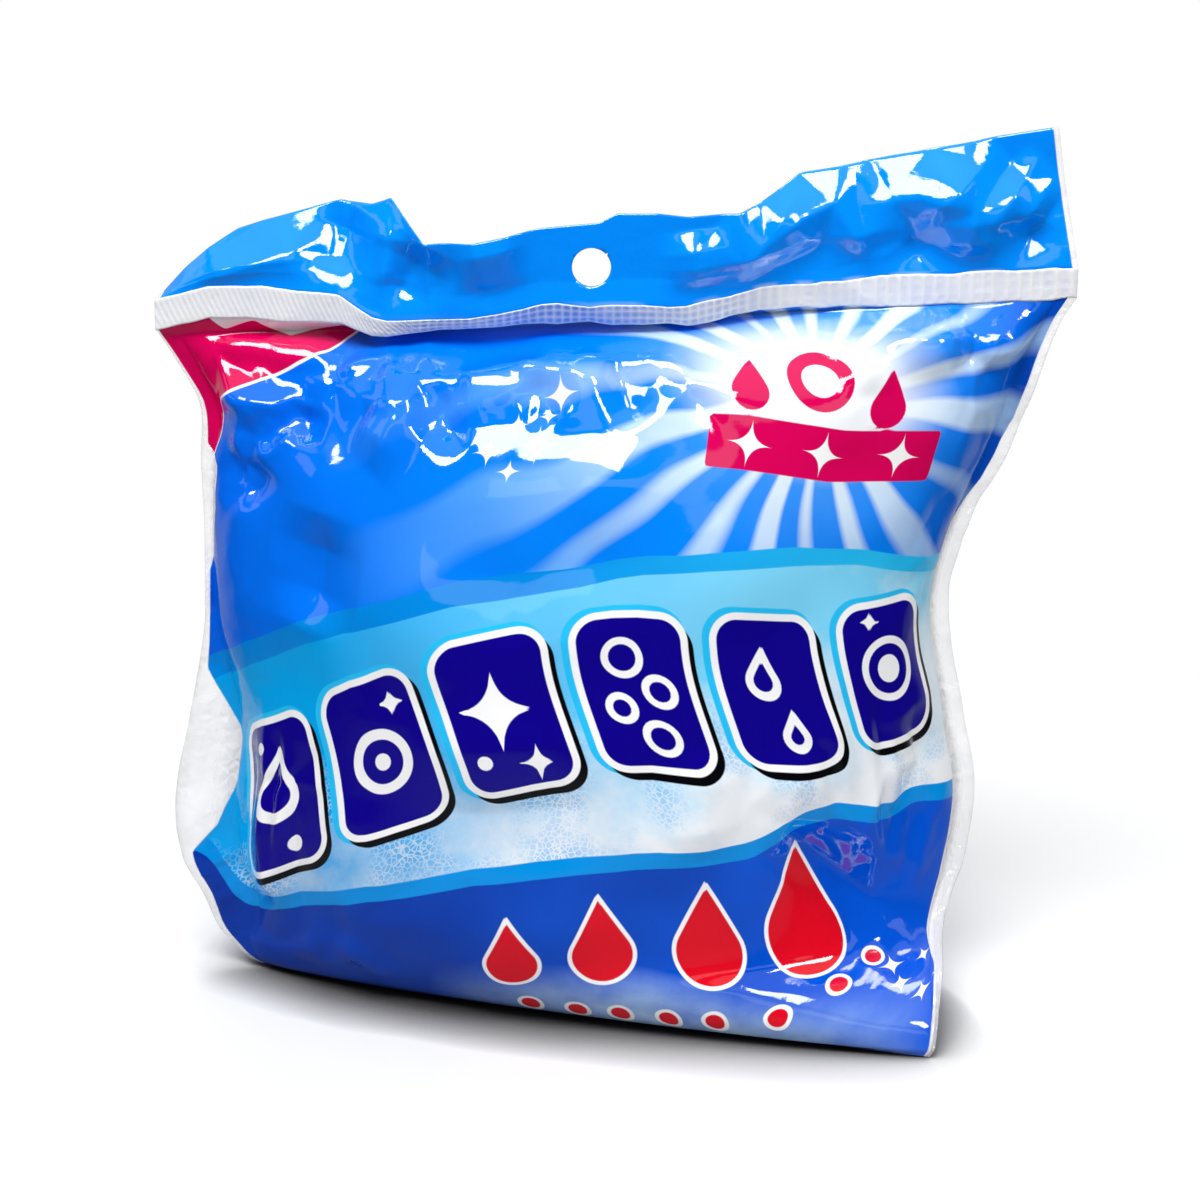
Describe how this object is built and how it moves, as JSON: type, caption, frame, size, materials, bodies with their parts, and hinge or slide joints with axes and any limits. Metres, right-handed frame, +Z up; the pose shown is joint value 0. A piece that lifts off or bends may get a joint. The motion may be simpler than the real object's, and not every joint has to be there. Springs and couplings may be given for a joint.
{
  "type": "toilet cleaner tablet pack",
  "caption": "Full sealed film pouch of cleaning tablets with flat side seals, a crimped band and a loose header punched with a hang hole, standing on its base.",
  "frame": {"origin": "on the ground, under the middle of the whole pouch", "axes": "+X to the right across the front, +Y to the back through the thin direction, +Z up; the printed front faces -Y"},
  "size_m": [0.1924, 0.0848, 0.1872],
  "materials": {
    "printed_film": "glossy printed plastic film, mostly blue, clear at the side seals and whitish at the crimped band"
  },
  "bodies": {
    "root": {"pouch": "printed_film"}
  },
  "joints": []
}
